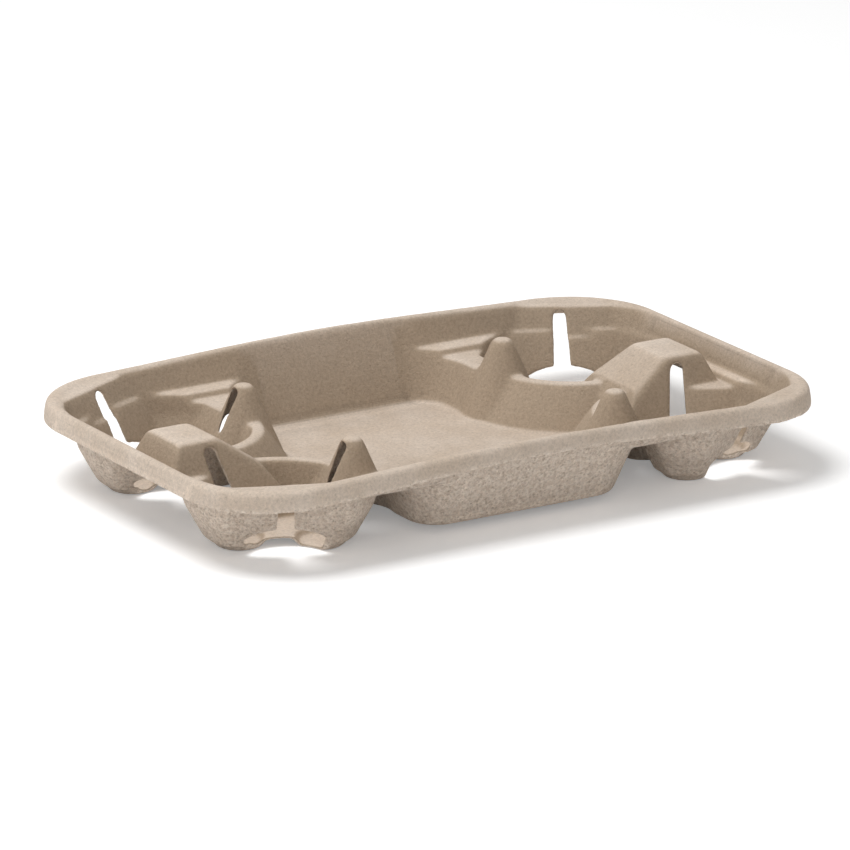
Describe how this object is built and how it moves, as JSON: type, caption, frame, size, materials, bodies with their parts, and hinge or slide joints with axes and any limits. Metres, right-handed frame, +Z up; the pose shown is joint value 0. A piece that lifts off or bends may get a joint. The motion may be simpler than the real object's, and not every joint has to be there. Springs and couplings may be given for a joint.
{
  "type": "cup carrier",
  "caption": "Moulded-fibre drinks carrier with lobed cup cells at both ends and a food compartment between them, used to carry cups and food.",
  "frame": {"origin": "centre of the footprint, on the surface that the feet stand on", "axes": "+X along the carrier's length, +Y across it, +Z up out of the cells"},
  "size_m": [0.4034, 0.257, 0.0535],
  "materials": {
    "moulded_fibre": "matte moulded paper fibre, smoother inside and coarser outside"
  },
  "bodies": {
    "root": {"carrier_tray": "moulded_fibre"}
  },
  "joints": []
}
